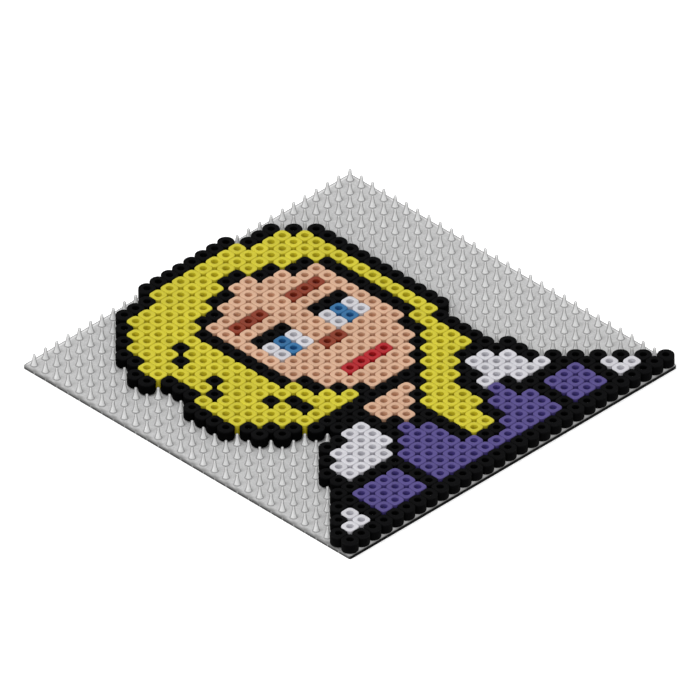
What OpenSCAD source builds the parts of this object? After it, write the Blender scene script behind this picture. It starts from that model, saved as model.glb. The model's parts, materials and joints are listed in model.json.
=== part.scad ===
// Pegboard for fuse beads, with a bead picture laid out on it.
// The board lies flat: +X runs along the picture's lower edge, +Y runs up the
// picture and +Z points up. The origin is the middle of the underside.

/* [Pegboard] */
// Pegs along each side of the board
peg_count = 29; // [29:1:34]
// Distance between neighbouring pegs, centre to centre
pitch = 5; // [4.9:0.1:5.6]
// Thickness of the flat plate
plate_t = 1.2; // [1:0.1:3]
// Radius of the plate's corners
corner_r = 0.8; // [0.4:0.1:2]

/* [Pegs] */
// Diameter of a peg at its foot
foot_d = 2.4; // [2.3:0.02:2.6]
// Diameter of a peg at its waist, where the flare of the foot ends
waist_d = 1.5; // [1.2:0.05:1.7]
// Height of a peg's flare, from the plate to the waist
flare_h = 1.7; // [1.5:0.1:2]
// Diameter of a peg at its tip
tip_d = 0.9; // [0.6:0.05:1]
// Height of a peg above the plate
peg_h = 4.2; // [4:0.1:6]

/* [Beads] */
// Outer diameter of a bead
bead_d = 5.6; // [4.8:0.1:5.8]
// Height of a bead
bead_h = 3.85; // [3:0.05:5]
// Diameter of the hole through a bead
bore_d = 2.35; // [2.1:0.05:2.4]
// Width of the bevel where a bead's hole opens at either end
rim = 0.2; // [0.1:0.05:0.2]
// Gap between the pressed flats of two neighbours
bead_gap = 0.1; // [0.1:0.02:0.2]
// Radial play between a seated bead and the flare of its peg
play = 0.15; // [0.13:0.01:0.2]

/* [Hidden] */

// The bead colours, by letter
INK = [
    ["K", [0.05, 0.05, 0.05]],
    ["Y", [0.86, 0.82, 0.24]],
    ["S", [0.92, 0.71, 0.57]],
    ["N", [0.59, 0.24, 0.16]],
    ["W", [0.88, 0.88, 0.91]],
    ["B", [0.20, 0.49, 0.75]],
    ["R", [0.80, 0.12, 0.20]],
    ["P", [0.37, 0.31, 0.61]]
];
BOARD_GREY = [0.78, 0.78, 0.79];
PEG_CLEAR = [0.88, 0.88, 0.89];

// The picture, a plain portrait from the front, one letter to a peg and the
// top row first. A dot is a free peg.
PICTURE = [
    "..........KKKKKKKK...........",
    ".......KKKYYYYYYYYKKK........",
    "......KYYYYYYYYYYYYYYK.......",
    ".....KYYYYYYYYKKYYYYYYK......",
    "....KYYYYYYYKKSSKKYYYYK......",
    "....KYYYYYKKSSSSSSKKYYK......",
    "...KYYYKYKSSSSSSSSSSKYK......",
    "...KYYKYYKSNNNSSNNNSKYK......",
    "....KYYYYKSSSSSSSSSSKYK......",
    "....KYYYYKSKKKSSKKKSKYK......",
    "....KYKYYKSWBWSSWBWSKYK......",
    "...KYKYYYKSWBWSSWBWSKYK......",
    "...KYYYYYKSSSSNNSSSSKYK......",
    "...KYYYYYKSSSSSSSSSSKYK......",
    "...KYYYKYYKSSSSSSSSKYYK......",
    "....KYYYKYKSSRRRRSSKYK.......",
    "....KKYYKYYKSSSSSSKYYK.......",
    ".....KKYYYYYKSSSSKYYYK.......",
    ".......KKKKKKKKKKYYYYK.......",
    "........KKKSSSSKYYYKKK.......",
    "......KKWWKSSSKYYYKWWKK......",
    ".....KWWWWKKSKYYYKKWWWK......",
    "....KWWWWWKPKKYYYKWWWWK......",
    "....KWWWWKPPPKYYYKPKWWWK.....",
    "...KKKKKKPPPPKYYKPPKKKKKK....",
    "..KKPPPPKPPPPKYYKPPPKPPPKK...",
    ".KWKPPPPKPPPPPKKPPPPKPPPKWK..",
    "KWWKPPPPKPPPPPPPPPPPKPPPKWWK.",
    "KKKKKKKKKKKKKKKKKKKKKKKKKKKKK"
];
ROWS = len(PICTURE);
COLUMNS = len(PICTURE[0]);

FACETS = 32;

board_w = peg_count * pitch;
foot_r = foot_d / 2;
waist_r = waist_d / 2;
tip_r = tip_d / 2;
bead_r = bead_d / 2;
bore_r = bore_d / 2;
flat_r = (pitch - bead_gap) / 2;

// A bead stops where the flare of its peg leaves just the play inside its bore
stop_z = flare_h * (foot_r - (bore_r - play)) / (foot_r - waist_r);
seat_z = plate_t + stop_z - rim;

// Place of a peg in the board, counted from 0 at the lower left corner
function peg_place(count) = (count + 0.5 - peg_count / 2) * pitch;

// Letter of the bead at a column and a row, the lowest row being 0
function letter(column, row) =
    column < 0 || column >= COLUMNS || row < 0 || row >= ROWS
        ? "."
        : PICTURE[ROWS - 1 - row][column];

function has_bead(column, row) = letter(column, row) != ".";

function ink(key) = INK[search(key, INK)[0]][1];

// Half width of a bead towards a neighbour: pressed flat, or its full radius
function reach(column, row) = has_bead(column, row) ? flat_r : bead_r + 1;

module base_plate() {
    core_w = board_w - 2 * corner_r;
    color(BOARD_GREY)
        linear_extrude(plate_t)
            union() {
                square([board_w, core_w], center = true);
                square([core_w, board_w], center = true);
                for (x = [-1, 1], y = [-1, 1])
                    translate([x * core_w / 2, y * core_w / 2])
                        circle(r = corner_r, $fn = FACETS);
            }
}

// A peg is a flared foot under a slender cone
module peg() {
    rotate_extrude($fn = FACETS)
        polygon([[0, 0], [foot_r, 0], [waist_r, flare_h], [tip_r, peg_h], [0, peg_h]]);
}

module peg_field() {
    color(PEG_CLEAR)
        for (column = [0 : peg_count - 1], row = [0 : peg_count - 1])
            translate([peg_place(column), peg_place(row), plate_t])
                peg();
}

// A short tube whose hole is bevelled at both ends, standing on z = 0
module tube() {
    rotate_extrude($fn = FACETS)
        polygon([
            [bore_r, rim],
            [bore_r + rim, 0],
            [bead_r, 0],
            [bead_r, bead_h],
            [bore_r + rim, bead_h],
            [bore_r, bead_h - rim]
        ]);
}

// A bead on its peg, pressed flat on each side that has a neighbour
module bead(column, row) {
    west = reach(column - 1, row);
    east = reach(column + 1, row);
    south = reach(column, row - 1);
    north = reach(column, row + 1);
    translate([peg_place(column), peg_place(row), seat_z])
        intersection() {
            tube();
            translate([-west, -south, -1])
                cube([west + east, south + north, bead_h + 2]);
        }
}

// The beads of one letter inside some windows of the picture, each window
// given as [first column, last column, first row, last row]
module beads(key, windows) {
    color(ink(key))
        for (w = windows, column = [w[0] : w[1]], row = [w[2] : w[3]])
            if (letter(column, row) == key)
                bead(column, row);
}

module crown_outline() { beads("K", [[5, 21, 26, 28]]); }
module left_hair_outline() { beads("K", [[3, 4, 12, 24], [5, 5, 25, 25], [5, 5, 12, 12], [5, 6, 11, 11]]); }
module right_hair_outline() { beads("K", [[21, 22, 10, 25]]); }
module jaw_line() { beads("K", [[7, 16, 10, 10]]); }
module hairline() {
    beads("K", [[9, 20, 20, 25], [9, 9, 15, 19], [20, 20, 15, 19], [9, 20, 11, 14]]);
}
module hair_strands() { beads("K", [[6, 8, 12, 22], [5, 5, 17, 17]]); }
module hair_crown() { beads("Y", [[4, 21, 23, 27]]); }
module hair_left() { beads("Y", [[3, 11, 11, 22]]); }
module hair_right() { beads("Y", [[18, 21, 11, 22]]); }
module front_lock() { beads("Y", [[14, 20, 3, 10]]); }
module lock_outline() { beads("K", [[13, 18, 2, 8], [15, 19, 9, 9]]); }
module forehead() { beads("S", [[10, 19, 20, 24]]); }
module face() { beads("S", [[10, 19, 11, 19]]); }
module neck() { beads("S", [[11, 14, 7, 9]]); }
module brows() { beads("N", [[11, 18, 21, 21]]); }
module lashes() { beads("K", [[11, 18, 19, 19]]); }
module eye_whites() { beads("W", [[11, 18, 17, 18]]); }
module irises() { beads("B", [[12, 17, 17, 18]]); }
module nose() { beads("N", [[14, 15, 16, 16]]); }
module mouth() { beads("R", [[13, 16, 13, 13]]); }
module puffs() { beads("W", [[5, 22, 5, 8]]); }
module cuffs() { beads("W", [[1, 26, 1, 2]]); }
module bodice() { beads("P", [[9, 19, 1, 6]]); }
module bodice_trim() { beads("K", [[10, 12, 6, 8], [9, 9, 5, 5], [8, 8, 1, 4], [20, 20, 1, 4]]); }
module sleeves() { beads("P", [[4, 7, 1, 3], [21, 23, 1, 3]]); }
module left_sleeve_outline() { beads("K", [[8, 10, 9, 9], [4, 7, 5, 8], [0, 7, 1, 4]]); }
module right_sleeve_outline() {
    beads("K", [[20, 21, 9, 9], [21, 22, 6, 8], [19, 19, 4, 5], [21, 24, 4, 5], [24, 27, 1, 3]]);
}
module bottom_row() { beads("K", [[0, 28, 0, 0]]); }

base_plate();
peg_field();
crown_outline();
left_hair_outline();
right_hair_outline();
jaw_line();
hairline();
hair_strands();
hair_crown();
hair_left();
hair_right();
front_lock();
lock_outline();
forehead();
face();
neck();
brows();
lashes();
eye_whites();
irises();
nose();
mouth();
puffs();
cuffs();
bodice();
bodice_trim();
sleeves();
left_sleeve_outline();
right_sleeve_outline();
bottom_row();
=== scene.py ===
"""The looks of a fuse bead pegboard with a bead picture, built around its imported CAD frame.

Metres, in the frame of the CAD part: +X along the picture's lower edge, +Y up the picture,
+Z out of the board. The board's light plastic, its flared pegs and every bead are new meshes,
placed by the boxes and the beads of the CAD nodes that they replace.
"""

import json
import math
import random

import bpy
import numpy as np
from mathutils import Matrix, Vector


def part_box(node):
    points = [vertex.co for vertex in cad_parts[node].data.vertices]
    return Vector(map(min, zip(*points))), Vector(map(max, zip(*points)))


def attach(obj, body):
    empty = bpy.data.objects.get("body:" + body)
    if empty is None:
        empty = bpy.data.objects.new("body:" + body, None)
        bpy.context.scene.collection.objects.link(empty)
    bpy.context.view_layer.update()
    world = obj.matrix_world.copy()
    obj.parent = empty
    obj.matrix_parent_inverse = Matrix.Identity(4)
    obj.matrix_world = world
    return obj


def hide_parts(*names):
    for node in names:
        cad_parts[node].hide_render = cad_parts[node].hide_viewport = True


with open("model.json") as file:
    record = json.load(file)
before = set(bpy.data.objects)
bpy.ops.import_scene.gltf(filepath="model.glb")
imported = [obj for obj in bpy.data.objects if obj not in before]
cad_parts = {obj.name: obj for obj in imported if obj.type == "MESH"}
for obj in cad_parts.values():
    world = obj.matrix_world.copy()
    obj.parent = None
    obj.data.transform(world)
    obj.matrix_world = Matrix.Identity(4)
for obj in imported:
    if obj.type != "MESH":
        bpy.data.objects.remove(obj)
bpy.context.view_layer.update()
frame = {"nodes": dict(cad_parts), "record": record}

MM = 0.001
TAU = 2 * math.pi

# ---------------------------------------------------------------- the design's sizes
PEGS = 29                                   # pegs along a side
PLATE_LOW, PLATE_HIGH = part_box("base_plate")
PEG_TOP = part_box("peg_field")[1].z
BOARD_W = PLATE_HIGH.x - PLATE_LOW.x
HALF = BOARD_W / 2
PITCH = BOARD_W / PEGS

CORNER_R = 0.8 * MM                         # a corner of the plate, seen from above
SOFTEN = 0.12 * MM                          # the rounding of the plate's upper and lower edges

PEG_H = PEG_TOP - PLATE_HIGH.z
FOOT_R = 1.2 * MM                           # a peg's radius at its foot
TIP_R = 0.45 * MM                           # and just under its tip
FLARE = 1.8                                 # the power by which it narrows between the two
FILLET, FILLET_H = 0.1 * MM, 0.4 * MM       # the fillet between a peg and the plate
CROWN_H = TIP_R * 0.8                       # the round end of the tip

BEAD_R = 2.8 * MM                           # a bead's radius where it has no neighbour
FLAT_R = PITCH / 2 - 0.05 * MM              # half width between two pressed flats
FLAT_CORNER = 22                            # the sharper a flat's corners, the higher
BORE_R = 1.2 * MM                           # the radius of its hole
BORE_BEVEL = 1.3                            # times this, it takes in the hole's bevel
RIM_OUT = 0.28 * MM                         # how far its outer rim is rounded
RIM_IN = 0.13 * MM                          # and the rim of its hole
FOOT_RIM = 0.2 * MM                         # and both rims at its foot
LENGTH_SPREAD = 0.012                       # how much shorter than its neighbours it may be cut
LEAN = 0.005                                # how far it may be tipped, as a slope

RECORD = frame["record"]
GROUPS = {nodes[0]: body for body, nodes in RECORD["behaviour"]["bodies"].items()
          if len(nodes) == 1}               # each bead node and the body that it rides on

# ---------------------------------------------------------------- how fine the meshes are
CORNER_STEPS = 5                            # round a corner of the plate
SOFT_STEPS = 3                              # over its softened edge
PEG_SIDES = 20
PEG_STEPS = 11                              # up a peg, from its foot to its tip
PEG_CROWDING = 1.6                          # the power that packs these towards the foot
CROWN_STEPS = 4
PEG_ROWS = 5                                # rows in one piece, so that none has too many faces
BEAD_SIDES = 36

# ---------------------------------------------------------------- colours, sRGB
COLOURS = {
    "black_beads": (19, 19, 20),
    "yellow_beads": (220, 209, 52),
    "skin_beads": (228, 184, 153),
    "brown_beads": (147, 58, 33),
    "white_beads": (221, 220, 226),
    "blue_beads": (51, 117, 170),
    "red_beads": (190, 31, 41),
    "purple_beads": (90, 78, 145),
}
PLATE_COLOUR = (212, 212, 212)
PLATE_SHADED = (128, 128, 128)              # painted shade near the left and lower edges
PLATE_LIT = (240, 240, 240)               # painted light in a strip along the two far edges
# painted shade on the board's edge, below its upper corner
EDGE_COLOUR = (66, 66, 66)
EDGE_CORNER = (140, 140, 140)               # painted light at the edge's upper corner
EDGE_LIGHT = (178, 178, 178)                # painted light on the edge halfway between two pegs
EDGE_DARK = (5, 5, 5)                       # painted black shade along the lower side, where the black beads stand
EDGE_LINE = (165, 165, 165)                 # a thin line of painted shade outside the strip of painted light
PEG_COLOUR = (222, 222, 222)
PEG_RIM_FOOT = (128, 128, 128)              # a peg's painted shade outline at its foot
PEG_RIM_TIP = (94, 94, 94)                  # and at its tip

WHITE = (1, 1, 1, 1)                        # the colour of every glow and of the sky, linear
SHADE = 0.86                                # what a lit white face returns, so that a colour
                                            # comes out as stated


def linear(rgb, gain=1.0):
    """An sRGB colour of 0 to 255 as a linear RGBA colour, times a gain."""
    parts = []
    for value in rgb:
        v = value / 255
        v = v / 12.92 if v <= 0.04045 else ((v + 0.055) / 1.055) ** 2.4
        parts.append(min(v * gain, 1.0))
    return (*parts, 1.0)


def painted_hole_colour(colour):
    """A colour as painted deep in a hole: shade where light has met the plastic more than once, so
    darker and deeper in hue.
    """
    most = max(colour[:3])
    return (*(value * math.sqrt(value / most) for value in colour[:3]), 1.0)


def low_side(mm):
    """The place along X or Y that lies so far inside the board's left or lower side."""
    return mm * MM - HALF


def high_side(mm):
    """The place along X or Y that lies so far inside the board's right or upper side."""
    return HALF - mm * MM


# ---------------------------------------------------------------- node helpers
NOISE_LOW, NOISE_HIGH = 0.3, 0.7            # most values of a noise lie between these
MIX_A, MIX_B, MIX_RESULT = 6, 7, 2          # a Mix node's sockets for colours


def is_socket(value):
    return isinstance(value, bpy.types.NodeSocket)


class Nodes:
    """A material's node tree, with short calls for making and linking nodes.

    A factor, number or colour that is asked for can be a plain value or a socket.
    """

    def __init__(self, name):
        self.material = bpy.data.materials.new(name)
        self.material.use_nodes = True
        self.tree = self.material.node_tree
        self.shader = self.tree.nodes["Principled BSDF"]

    def fill(self, node, inputs):
        """Link or set a node's inputs, by name or by number."""
        for key, value in inputs.items():
            if is_socket(value):
                self.tree.links.new(value, node.inputs[key])
            else:
                node.inputs[key].default_value = value

    def add(self, kind, inputs, **settings):
        node = self.tree.nodes.new(kind)
        for key, value in settings.items():
            setattr(node, key, value)
        self.fill(node, inputs)
        return node

    def surface(self, inputs):
        self.fill(self.shader, inputs)

    def compute(self, operation, *values):
        inputs = dict(enumerate(values))
        return self.add("ShaderNodeMath", inputs, operation=operation).outputs[0]

    def times(self, a, b):
        return self.compute("MULTIPLY", a, b)

    def greater(self, a, b):
        return self.compute("MAXIMUM", a, b)

    def spread(self, value, low, high, start, end):
        """A value from start to end spread over low to high, and held outside these."""
        inputs = {"Value": value, "From Min": start, "From Max": end, "To Min": low, "To Max": high}
        return self.add("ShaderNodeMapRange", inputs).outputs["Result"]

    def scaled(self, colour, factor):
        if not is_socket(colour):
            colour = colour[:3]
        inputs = {0: colour, "Scale": factor}
        return self.add("ShaderNodeVectorMath", inputs, operation="SCALE").outputs[0]

    def blend(self, factor, a, b):
        """Colour a turning into colour b as the factor goes from 0 to 1."""
        inputs = {0: factor, MIX_A: a, MIX_B: b}
        return self.add("ShaderNodeMix", inputs, data_type="RGBA").outputs[MIX_RESULT]

    def place(self):
        """The X, Y and Z of a point in the object's own metres."""
        place = self.add("ShaderNodeTexCoord", {}).outputs["Object"]
        return self.add("ShaderNodeSeparateXYZ", {"Vector": place}).outputs

    def attribute(self, name):
        return self.add("ShaderNodeAttribute", {}, attribute_name=name).outputs["Fac"]

    def between_pegs(self, along):
        """From -1 at each peg to 1 halfway between two, along a side of the board."""
        turn = self.compute("MULTIPLY_ADD", along, TAU / PITCH, math.pi)
        return self.compute("COSINE", turn)

    def noise(self, scale, detail, stretch=(1, 1, 1)):
        """Noise by place: scale is in features per metre, and stretch multiplies it by axis."""
        place = self.add("ShaderNodeTexCoord", {}).outputs["Object"]
        if stretch != (1, 1, 1):
            place = self.add("ShaderNodeMapping", {"Vector": place, "Scale": stretch}).outputs[0]
        inputs = {"Vector": place, "Scale": scale, "Detail": detail}
        return self.add("ShaderNodeTexNoise", inputs).outputs["Fac"]

    def mottled(self, low, high, scale, detail=2, stretch=(1, 1, 1)):
        """A number that varies by place between low and high."""
        return self.spread(self.noise(scale, detail, stretch), low, high, NOISE_LOW, NOISE_HIGH)

    def grain(self, depth, scale, detail=2, stretch=(1, 1, 1), over=None):
        """A normal that is rough by a depth in metres, over another such normal or smooth."""
        inputs = {"Height": self.noise(scale, detail, stretch), "Distance": depth}
        if over is not None:
            inputs["Normal"] = over
        return self.add("ShaderNodeBump", inputs).outputs[0]


# ---------------------------------------------------------------- the beads' plastic
PAINTED_HOLE_SHADE = 0.7                             # how far a bead's colour turns to its painted hole shade where it is sunk
BLACK_HOLE_SHADE = 0.25                           # how much of its colour a black bead keeps under painted shade there
HOLE_SHADE_DEPTH, BLACK_DEPTH = 0.25, 0.15        # the depths at which they have got so far


def bead_plastic(slot):
    """Waxy polyethylene: a tone of its own for each bead, faint clouds, fine saw marks, and painted
    shade where it is sunk.
    """
    n = Nodes(slot)
    black = slot == "black_beads"
    depth = n.attribute("bead_depth")
    tone = n.spread(n.attribute("bead_tone"), 0.94, 1.04, 0.0, 1.0)
    shade = n.times(tone, n.mottled(0.97, 1.03, scale=700, detail=3))
    if black:
        # painted shade in a black bead's hole and on its sunk walls
        shade = n.times(shade, n.spread(depth, 1.0, BLACK_HOLE_SHADE, 0.0, BLACK_DEPTH))
    colour = linear(COLOURS[slot], SHADE)
    # painted shade, deeper in hue, in a bead's hole and on its sunk walls
    hole_shade = n.spread(depth, 0.0, PAINTED_HOLE_SHADE, 0.0, HOLE_SHADE_DEPTH)
    rough = 0.6 if black else 0.38
    saw_marks = n.grain(0.02 * MM, scale=260, stretch=(1, 14, 1))
    n.surface({
        "Base Color": n.scaled(n.blend(hole_shade, colour, painted_hole_colour(colour)), shade),
        "Roughness": n.mottled(rough, rough + 0.14, scale=1500),
        "Normal": n.grain(0.012 * MM, scale=2600, detail=3, over=saw_marks),
        "IOR": 1.5,
        "Specular IOR Level": 0.012 if black else 0.25,
    })
    return n.material


# ---------------------------------------------------------------- the pegs' plastic
# Heights on a peg are shares of its height, and facings run from 0, square on, to 1, edge on.
PEG_GLOW = 0.12                             # a painted glow, standing in for light that the floor sends up through a peg
HAZE_FOOT, HAZE_TIP = 0.92, 0.6             # how much of the light a peg's haze stops
HAZE_SPAN = (0.3, 0.85)                     # the heights between which it thins
OUTLINE_STOPS = 0.88                        # how much of the light the painted outline stops
OUTLINE_START = (0.33, 0.24)                # the facing where it starts, low and high on a peg
OUTLINE_FULL = (0.48, 0.34)                 # and where it is at its darkest
OUTLINE_SPAN = (0.2, 0.9)                   # the heights between which these change
FOOT_LINE = (0.05, 0.1)                     # the painted shade line round the foot fades between these
HIDDEN_SPAN = (0.6, 0.72)                   # a covered peg goes clear between these
TIP_SPAN = (0.78, 0.88)                     # and its tip is always clear above these
CLOSED_REACH = 1.6 * MM                     # how near a wall has to be to close a peg in
CLOSED, OPEN = 0.2, 0.45                    # a peg's openness in a bead and out of it
LEFT_DIM = 0.84                             # what the pegs along the left side keep of their colour under painted shade
LEFT_DIM_SPAN = (2, 16)                     # mm from that side, over which this evens out


def peg_plastic(covered):
    """Clear polystyrene: hazy where it is thick, clearer towards the tip, with a painted shade
    outline at its rims, painted shade round its foot and along the board's left side, and a painted
    glow.

    A covered peg shows its bead's colour: its upper part goes clear while walls close it in.
    """
    n = Nodes("pegs_covered" if covered else "pegs")
    rise = n.attribute("peg_rise")
    # a painted shade outline at the rims, and painted shade round the foot
    facing = n.add("ShaderNodeLayerWeight", {"Blend": 0.5}).outputs["Facing"]
    start = n.spread(rise, *OUTLINE_START, *OUTLINE_SPAN)
    full = n.spread(rise, *OUTLINE_FULL, *OUTLINE_SPAN)
    outline = n.spread(facing, 0.0, 1.0, start, full)
    dark = n.greater(outline, n.spread(rise, 1.0, 0.0, *FOOT_LINE))
    haze = n.spread(rise, HAZE_FOOT, HAZE_TIP, *HAZE_SPAN)
    alpha = n.greater(haze, n.times(dark, OUTLINE_STOPS))
    if covered:
        openness = n.add("ShaderNodeAmbientOcclusion", {"Distance": CLOSED_REACH}, samples=8)
        opened = n.spread(openness.outputs["AO"], 0.0, 1.0, CLOSED, OPEN)
        shown = n.greater(opened, n.spread(rise, 1.0, 0.0, *HIDDEN_SPAN))
        below_tip = n.spread(rise, 1.0, 0.0, *TIP_SPAN)
        alpha = n.times(alpha, n.times(shown, below_tip))
    x, _y, _z = n.place()
    painted_peg_shade = n.spread(x, LEFT_DIM, 1.0, *(low_side(mm) for mm in LEFT_DIM_SPAN))
    clouds = n.mottled(0.96, 1.02, scale=420)
    body = n.scaled(linear(PEG_COLOUR), n.times(clouds, painted_peg_shade))
    rim = n.blend(rise, linear(PEG_RIM_FOOT), linear(PEG_RIM_TIP))
    n.surface({
        "Base Color": n.blend(dark, body, rim),
        "Alpha": alpha,
        "Roughness": n.mottled(0.24, 0.36, scale=1300),
        "Normal": n.grain(0.002 * MM, scale=1900),
        "Emission Color": WHITE,
        "Emission Strength": PEG_GLOW,
        "IOR": 1.4,
        "Specular IOR Level": 0.1,
    })
    return n.material


# ---------------------------------------------------------------- the board's plastic
# Each span is given in mm from the side that it belongs to.
STRIP_SPAN = (1.15, 0.95)                   # the strip of painted light begins, at the two far sides
LINE_SPAN = (0.5, 0.35)                     # and the line of painted shade outside it
LEFT_SHADE, LEFT_SPAN = 0.85, (0.3, 1.7)    # painted shade along the left side, weak beside a peg
LEFT_PEG = 0.25                             # what is left of that shade beside a peg
RIM_SHADE, RIM_SPAN = 0.8, (0.15, 0.75)     # its even part, close to the edge
LOWER_SHADE, LOWER_SPAN = 0.75, (0, 0.75)   # painted shade along the lower side
GLOW = 0.2                                  # a painted glow beside the lower row, standing in for light through the clear plate
GLOW_SPAN = (2.0, 2.6)                      # it ends under the beads
GLOW_SHADED = 0.2                           # what is left of it under the lower side's painted shade


def board_plastic():
    """Light grey moulding with a fine grain, with painted light and shade near its edges and a
    painted glow beside the lower row.
    """
    n = Nodes("board")
    x, y, _z = n.place()
    far = n.greater(x, y)
    # painted light along the two far edges
    painted_light_strip = n.spread(far, 0.0, 1.0, *(high_side(mm) for mm in STRIP_SPAN))
    line = n.spread(far, 0.0, 1.0, *(high_side(mm) for mm in LINE_SPAN))
    # painted shade along the left and lower sides
    left = n.times(n.spread(x, LEFT_SHADE, 0.0, *(low_side(mm) for mm in LEFT_SPAN)),
                   n.spread(n.between_pegs(y), LEFT_PEG, 1.0, -1.0, 0.8))
    left = n.greater(left, n.spread(x, RIM_SHADE, 0.0, *(low_side(mm) for mm in RIM_SPAN)))
    lower = n.spread(y, LOWER_SHADE, 0.0, *(low_side(mm) for mm in LOWER_SPAN))
    grey = n.blend(painted_light_strip, linear(PLATE_COLOUR, SHADE), linear(PLATE_LIT, SHADE))
    grey = n.blend(line, grey, linear(EDGE_LINE, SHADE))
    grey = n.blend(n.greater(left, lower), grey, linear(PLATE_SHADED, SHADE))
    wide = n.mottled(0.97, 1.03, scale=55, detail=3)
    cloudy = n.mottled(0.97, 1.03, scale=600)
    fine = n.mottled(0.89, 1.08, scale=1500)
    glow = n.spread(y, GLOW, 0.0, *(low_side(mm) for mm in GLOW_SPAN))
    n.surface({
        "Base Color": n.scaled(grey, n.times(n.times(wide, cloudy), fine)),
        "Roughness": n.mottled(0.42, 0.6, scale=900),
        "Normal": n.grain(0.03 * MM, scale=2300, detail=4),
        "Emission Color": WHITE,
        "Emission Strength": n.times(glow, n.spread(lower, 1.0, GLOW_SHADED, 0.0, LOWER_SHADE)),
    })
    return n.material


CORNER_WIDE, CORNER_NARROW = 0.6 * MM, 0.1 * MM     # how far down the upper corner's painted light goes
GAP_LIGHT = 0.6                                     # how strong the painted light between the pegs gets
GAP_SPAN = (0.93, 1.0)                              # how near halfway between two pegs they are


def edge_plastic():
    """The board's edge: painted light at its upper corner and between the pegs, painted shade
    below, and painted black shade along the lower side.
    """
    n = Nodes("board_edge")
    _x, y, z = n.place()
    top = PLATE_HIGH.z
    # edge_side marks the lower side, which gets the painted black shade
    black = n.attribute("edge_side")
    painted_gap_light = n.times(n.spread(n.between_pegs(y), 0.0, GAP_LIGHT, *GAP_SPAN),
                  n.spread(black, 1.0, 0.0, 0.0, 0.5))
    low = n.blend(black, linear(EDGE_COLOUR), linear(EDGE_DARK))
    low = n.blend(painted_gap_light, low, linear(EDGE_LIGHT, SHADE))
    wide = n.spread(z, 0.0, 1.0, top - CORNER_WIDE, top)
    narrow = n.spread(z, 0.0, 1.0, top - CORNER_NARROW, top)
    light = n.add("ShaderNodeMix", {"Factor": black, "A": wide, "B": narrow}).outputs[0]
    streaks = n.mottled(0.8, 1.25, scale=240, detail=3, stretch=(1, 1, 6))
    n.surface({
        "Base Color": n.scaled(n.blend(light, low, linear(EDGE_CORNER, SHADE)), streaks),
        "Roughness": n.mottled(0.5, 0.7, scale=800),
        "Normal": n.grain(0.03 * MM, scale=900, detail=3, stretch=(1, 1, 5)),
        "Specular IOR Level": 0.04,
    })
    return n.material


# ---------------------------------------------------------------- mesh helpers
def make_object(name, points, faces, materials):
    mesh = bpy.data.meshes.new(name)
    mesh.from_pydata(points, [], faces)
    mesh.polygons.foreach_set("use_smooth", [True] * len(mesh.polygons))
    for material in materials:
        mesh.materials.append(material)
    mesh.update()
    piece = bpy.data.objects.new(name, mesh)
    bpy.context.scene.collection.objects.link(piece)
    return piece


def point_attribute(piece, name, values):
    layer = piece.data.attributes.new(name, "FLOAT", "POINT")
    layer.data.foreach_set("value", values)


def ring_faces(rings, sides, closed):
    """Quads between successive rings of points, closed to the first ring for a torus."""
    ring = np.arange(rings if closed else rings - 1)[:, None]
    side = np.arange(sides)[None, :]
    low, high = ring * sides, (ring + 1) % rings * sides
    beside = (side + 1) % sides
    quads = np.stack([low + side, low + beside, high + beside, high + side], axis=-1)
    return quads.reshape(-1, 4)


def bend(steps):
    """The sine and cosine at each step of a quarter turn."""
    for step in range(steps + 1):
        a = step / steps * math.pi / 2
        yield math.sin(a), math.cos(a)


def peg_place(index):
    return (index + 0.5 - PEGS / 2) * PITCH


# ---------------------------------------------------------------- the board
def plate_outline(inset):
    """The points round the plate, with round corners."""
    r = CORNER_R - inset
    w = HALF - inset - r
    for quarter, (sx, sy) in enumerate(((1, 1), (-1, 1), (-1, -1), (1, -1))):
        for step in range(CORNER_STEPS + 1):
            a = (quarter + step / CORNER_STEPS) * math.pi / 2
            yield sx * w + r * math.cos(a), sy * w + r * math.sin(a)


def board():
    """The plate, with softened edges."""
    levels = [(SOFTEN * (1 - sin), PLATE_LOW.z + SOFTEN * (1 - cos))
              for sin, cos in bend(SOFT_STEPS)]
    levels += [(SOFTEN * (1 - cos), PLATE_HIGH.z - SOFTEN * (1 - sin))
               for sin, cos in bend(SOFT_STEPS)]
    points = []
    for inset, z in levels:
        points += [(x, y, z) for x, y in plate_outline(inset)]
    sides = 4 * (CORNER_STEPS + 1)
    faces = ring_faces(len(levels), sides, False).tolist()
    faces.append(tuple(range(sides - 1, -1, -1)))
    faces.append(tuple(range(len(points) - sides, len(points))))
    piece = make_object("board_plate", points, faces, [board_plastic(), edge_plastic()])
    # edge_side is 1 on the lower side's faces, which get the painted black shade
    side = piece.data.attributes.new("edge_side", "FLOAT", "FACE")
    for polygon in piece.data.polygons:
        if len(polygon.vertices) > 4:
            polygon.use_smooth = False
        else:
            polygon.material_index = 1
            flat = math.hypot(polygon.normal.x, polygon.normal.y)
            side.data[polygon.index].value = max(0.0, -polygon.normal.y / flat)
    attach(piece, "pegboard")
    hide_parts("base_plate")


# ---------------------------------------------------------------- the pegs
def peg_rings():
    """A peg's radius and height at each ring, from its flared foot to its round tip."""
    neck = PEG_H - CROWN_H
    rings = []
    for step in range(PEG_STEPS + 1):
        z = neck * (step / PEG_STEPS) ** PEG_CROWDING
        fillet = FILLET * max(0.0, 1 - z / FILLET_H) ** 2
        rings.append((TIP_R + (FOOT_R - TIP_R) * (1 - z / PEG_H) ** FLARE + fillet, z))
    top_r = rings[-1][0]
    for sin, cos in list(bend(CROWN_STEPS))[1:-1]:
        rings.append((top_r * cos, neck + CROWN_H * sin))
    return rings


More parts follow.
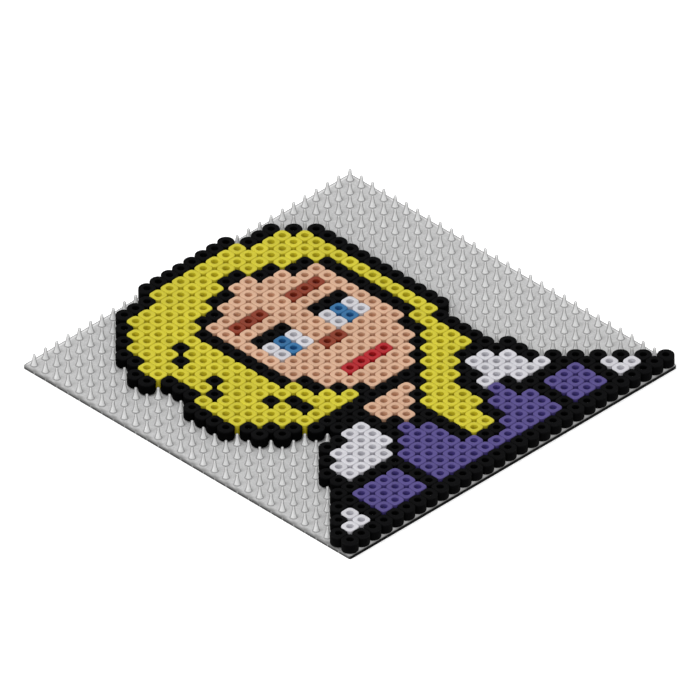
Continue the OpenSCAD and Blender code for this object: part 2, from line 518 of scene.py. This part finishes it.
def pegs(taken):
    """All pegs, a few rows to a piece."""
    materials = [peg_plastic(False), peg_plastic(True)]
    rings = peg_rings()
    turn = [(math.cos(TAU * k / PEG_SIDES), math.sin(TAU * k / PEG_SIDES))
            for k in range(PEG_SIDES)]
    one = np.array([(r * c, r * s, z) for r, z in rings for c, s in turn] + [(0, 0, PEG_H)])
    quads = ring_faces(len(rings), PEG_SIDES, False)
    last = (len(rings) - 1) * PEG_SIDES
    caps = np.array([(last + k, last + (k + 1) % PEG_SIDES, len(one) - 1)
                     for k in range(PEG_SIDES)])
    rise = (one[:, 2] / PEG_H).tolist()
    faces_each = len(quads) + len(caps)
    for first in range(0, PEGS, PEG_ROWS):
        points, faces, under = [], [], []
        last_row = min(first + PEG_ROWS, PEGS)
        for row in range(first, last_row):
            for column in range(PEGS):
                shift = len(points)
                under += [int((column, row) in taken)] * faces_each
                place = np.array([peg_place(column), peg_place(row), PLATE_HIGH.z])
                points.extend((one + place).tolist())
                faces.extend((quads + shift).tolist())
                faces.extend((caps + shift).tolist())
        piece = make_object(f"pegs_rows_{first + 1}", points, faces, materials)
        piece.data.polygons.foreach_set("material_index", under)
        point_attribute(piece, "peg_rise", rise * (PEGS * (last_row - first)))
        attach(piece, "pegboard")
        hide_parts("peg_field")


# ---------------------------------------------------------------- the beads
def bead_cells(node):
    """The pegs, by column and row, whose bead a CAD node holds: those with bore points near."""
    mesh = frame["nodes"][node].data
    points = np.zeros(len(mesh.vertices) * 3, np.float32)
    mesh.vertices.foreach_get("co", points)
    xy = points.reshape(-1, 3)[:, :2]
    cell = np.floor(xy / PITCH + PEGS / 2)
    off = xy - (cell + 0.5 - PEGS / 2) * PITCH
    near = np.hypot(off[:, 0], off[:, 1]) < BORE_R * BORE_BEVEL
    return sorted({(int(a), int(b)) for a, b in cell[near]})


def bead_outline(cell, taken):
    """A bead's radius towards each side: round, and flat where it meets a neighbour."""
    turn = np.arange(BEAD_SIDES) * TAU / BEAD_SIDES
    total = np.full(BEAD_SIDES, BEAD_R) ** -FLAT_CORNER
    for dx, dy in ((1, 0), (0, 1), (-1, 0), (0, -1)):
        if (cell[0] + dx, cell[1] + dy) in taken:
            towards = np.cos(turn) * dx + np.sin(turn) * dy
            reach = FLAT_R / np.maximum(towards, 1e-3)      # endless on the other side
            total = total + reach ** -FLAT_CORNER
    return turn, total ** (-1 / FLAT_CORNER)


def bead_section(height):
    """A bead's section as (share, inset, z): share 0 is the bore and 1 the outer side."""
    bore_foot = [(0, FOOT_RIM * (1 - sin), FOOT_RIM * (1 - cos)) for sin, cos in bend(3)]
    bore_rim = [(0, RIM_IN * (1 - cos), height - RIM_IN * (1 - sin)) for sin, cos in bend(4)]
    outer_rim = [(1, -RIM_OUT * (1 - sin), height - RIM_OUT * (1 - cos)) for sin, cos in bend(5)]
    outer_foot = [(1, -FOOT_RIM * (1 - cos), FOOT_RIM * (1 - sin)) for sin, cos in bend(3)]
    return bore_foot + bore_rim + outer_rim + outer_foot


# bead_depth drives the painted shade in a bead's hole and on its sunk walls
def bead_depth(share, z, height):
    """How sunk a point is, from 0 near the bead's top to about 1, and faster in the bore."""
    if share:
        return max(0.0, 1 - z / height - 0.08)
    return min(1.0, 1.6 * max(0.0, 1 - z / (height * 0.9)))


def bead_points(cell, taken, low_z, height, chance):
    """One bead's points, ring by ring, very slightly tipped and cut to length."""
    turn, outer = bead_outline(cell, taken)
    section = bead_section(height * (1 - LENGTH_SPREAD * chance.random()))
    lean_x, lean_y = chance.uniform(-LEAN, LEAN), chance.uniform(-LEAN, LEAN)
    points, depth = [], []
    for share, inset, z in section:
        radius = (outer if share else BORE_R) + inset
        x, y = radius * np.cos(turn), radius * np.sin(turn)
        tip = x * lean_x + y * lean_y
        points.append(np.stack([x + peg_place(cell[0]), y + peg_place(cell[1]),
                                low_z + z + tip], axis=-1))
        depth += [bead_depth(share, z, height)] * BEAD_SIDES
    return np.concatenate(points), depth


def beads(node, body, material, taken):
    """The beads of one CAD node as one piece."""
    low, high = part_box(node)
    chance = random.Random(node)
    rings = len(bead_section(1.0))
    quads = ring_faces(rings, BEAD_SIDES, True)
    points, faces, depth, tone = [], [], [], []
    for cell in bead_cells(node):
        shift = len(points)
        one, sunk = bead_points(cell, taken, low.z, high.z - low.z, chance)
        points.extend(one.tolist())
        faces.extend((quads[:, ::-1] + shift).tolist())
        depth += sunk
        tone += [chance.random()] * len(one)
    piece = make_object(node + "_beads", points, faces, [material])
    point_attribute(piece, "bead_depth", depth)
    point_attribute(piece, "bead_tone", tone)
    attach(piece, body)
    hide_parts(node)


def all_beads(taken):
    slots = {part["node"]: part["material_slot"] for part in RECORD["subparts"]}
    materials = {slot: bead_plastic(slot) for slot in COLOURS}
    for node, body in GROUPS.items():
        beads(node, body, materials[slots[node]], taken)


# ---------------------------------------------------------------- the studio
FLOOR_W = BOARD_W * 14
FLOOR_DROP = 0.05 * MM                      # clear of the plate, so that no faces coincide
FLOOR_COLOUR = (0.93, 0.93, 0.93, 1)        # linear
FLOOR_GLOW = 0.45
SKY = 0.62                                  # the even light from all round


def lamp(name, energy, angle, direction):
    """A broad sun that shines along a direction."""
    light = bpy.data.lights.new(name, "SUN")
    light.energy = energy
    light.angle = math.radians(angle)
    piece = bpy.data.objects.new(name, light)
    piece.rotation_mode = "QUATERNION"
    piece.rotation_quaternion = Vector(direction).to_track_quat("-Z", "Y")
    bpy.context.scene.collection.objects.link(piece)


def floor():
    s = FLOOR_W / 2
    mesh = bpy.data.meshes.new("floor")
    mesh.from_pydata([(-s, -s, 0), (s, -s, 0), (s, s, 0), (-s, s, 0)], [], [(0, 1, 2, 3)])
    plane = bpy.data.objects.new("floor", mesh)
    plane.location.z = -FLOOR_DROP
    bpy.context.scene.collection.objects.link(plane)
    n = Nodes("floor")
    n.surface({
        "Base Color": FLOOR_COLOUR,
        "Roughness": 0.9,
        "Specular IOR Level": 0.0,
        "Emission Color": WHITE,
        "Emission Strength": FLOOR_GLOW,
    })
    mesh.materials.append(n.material)


def sky():
    """Even light all round, behind which the backdrop itself is plain white."""
    world = bpy.data.worlds.new("studio")
    world.use_nodes = True
    tree = world.node_tree
    light = tree.nodes["Background"]
    light.inputs["Color"].default_value = WHITE
    light.inputs["Strength"].default_value = SKY
    seen = tree.nodes.new("ShaderNodeBackground")
    seen.inputs["Color"].default_value = WHITE
    either = tree.nodes.new("ShaderNodeMixShader")
    path = tree.nodes.new("ShaderNodeLightPath")
    tree.links.new(path.outputs["Is Camera Ray"], either.inputs[0])
    tree.links.new(light.outputs[0], either.inputs[1])
    tree.links.new(seen.outputs[0], either.inputs[2])
    tree.links.new(either.outputs[0], tree.nodes["World Output"].inputs["Surface"])
    bpy.context.scene.world = world


def studio():
    """A white floor under soft, even light, a little stronger from the back left."""
    floor()
    sky()
    lamp("key", energy=1.2, angle=35, direction=(0.9, -0.35, -1.7))
    lamp("fill", energy=0.5, angle=60, direction=(0.7, 0.7, -0.85))
    bpy.context.scene.view_settings.view_transform = "Standard"


# ---------------------------------------------------------------- the camera
AZIMUTH, ELEVATION = math.radians(-45), math.radians(35.9)
BOARD_SHARE = 0.9345                        # of the picture's width, for the board's diagonal
LIFT = 5.7 * MM                             # how far above the board's middle the view is centred
DISTANCE = 0.8


def camera():
    lens = bpy.data.cameras.new("camera")
    lens.type = "ORTHO"
    lens.ortho_scale = BOARD_W * math.sqrt(2) / BOARD_SHARE
    lens.clip_start, lens.clip_end = 0.01, 5
    eye = bpy.data.objects.new("camera", lens)
    back = Vector((math.sin(AZIMUTH) * math.cos(ELEVATION),
                   -math.cos(AZIMUTH) * math.cos(ELEVATION),
                   math.sin(ELEVATION)))
    turn = (-back).to_track_quat("-Z", "Y")
    eye.rotation_mode = "QUATERNION"
    eye.rotation_quaternion = turn
    eye.location = turn @ Vector((0, LIFT, 0)) + back * DISTANCE
    bpy.context.scene.collection.objects.link(eye)
    bpy.context.scene.camera = eye


camera()
studio()
board()
taken = {cell for node in GROUPS for cell in bead_cells(node)}
pegs(taken)
all_beads(taken)
